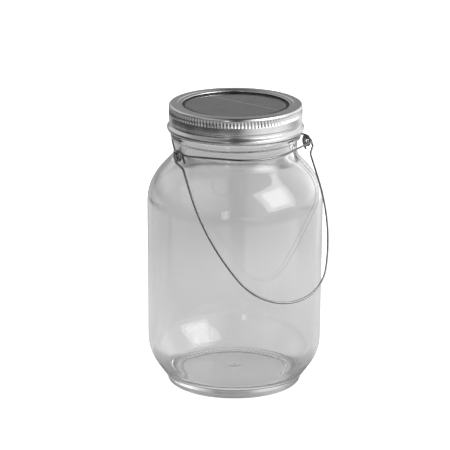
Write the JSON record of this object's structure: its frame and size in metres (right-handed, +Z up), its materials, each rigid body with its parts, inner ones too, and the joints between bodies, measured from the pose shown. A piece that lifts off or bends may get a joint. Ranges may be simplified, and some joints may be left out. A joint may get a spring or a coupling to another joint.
{
  "type": "mason jar lantern",
  "caption": "Clear glass screw-top jar lantern with a solar panel lid, a wire neck ring and a swinging wire bail handle.",
  "frame": {"origin": "middle of the jar's foot, on the surface that it stands on", "axes": "+Z up along the jar's axis, X through the ears of the neck ring, the bail hangs towards -Y"},
  "size_m": [0.0966, 0.1171, 0.158],
  "materials": {
    "glass": "clear blown glass, polished",
    "band_sheet": "tinned sheet, satin with a bright roll",
    "wire": "drawn steel wire, smooth",
    "housing": "moulded black, fine texture",
    "cell_face": "dark wafer with a thin bus line",
    "window": "clear cast resin",
    "gasket": "soft pale rubber",
    "cover": "moulded white, fine texture",
    "screws": "zinc plated",
    "board": "green solder mask",
    "chip": "moulded black",
    "choke": "dipped lacquer",
    "diodes": "clear domed resin",
    "lead_red": "insulated lead",
    "lead_black": "insulated lead",
    "battery": "shrink sleeve",
    "contacts": "nickel plated sheet",
    "switch_case": "tinned case",
    "slider": "moulded black"
  },
  "bodies": {
    "jar": {"glass_jar": "glass", "neck_wire_front": "wire", "neck_wire_rear": "wire"},
    "bail": {"bail_handle": "wire"},
    "solar_unit": {"unit_housing": "housing", "solar_cell": "cell_face", "panel_window": "window", "rim_gasket": "gasket", "bottom_cover": "cover", "cover_screws": "screws", "circuit_board": "board", "control_chip": "chip", "choke_coil": "choke", "light_diodes": "diodes", "panel_lead_red": "lead_red", "panel_lead_black": "lead_black", "battery_cell": "battery", "positive_contact": "contacts", "negative_contact": "contacts", "switch_body": "switch_case"},
    "band": {"screw_band": "band_sheet"},
    "slider": {"switch_slider": "slider"}
  },
  "joints": [
    {"name": "bail_swing", "type": "hinge", "parent": "jar", "child": "bail", "pos_m": [0, -0.009, 0.13585], "axis": [-1, 0, 0], "range_deg": [0, 258]},
    {"name": "lid_rise", "type": "slide", "parent": "jar", "child": "solar_unit", "axis": [0, 0, 1], "range_m": [0, 0.008]},
    {"name": "band_turn", "type": "hinge", "parent": "solar_unit", "child": "band", "pos_m": [0, 0, 0.15], "axis": [0, 0, 1], "range_deg": [0, 450]},
    {"name": "switch_slide", "type": "slide", "parent": "solar_unit", "child": "slider", "axis": [1, 0, 0], "range_m": [0, 0.002]}
  ],
  "couplings": [
    {"joint": "lid_rise", "follows": "band_turn", "m_per_rad": 0.0010106}
  ]
}
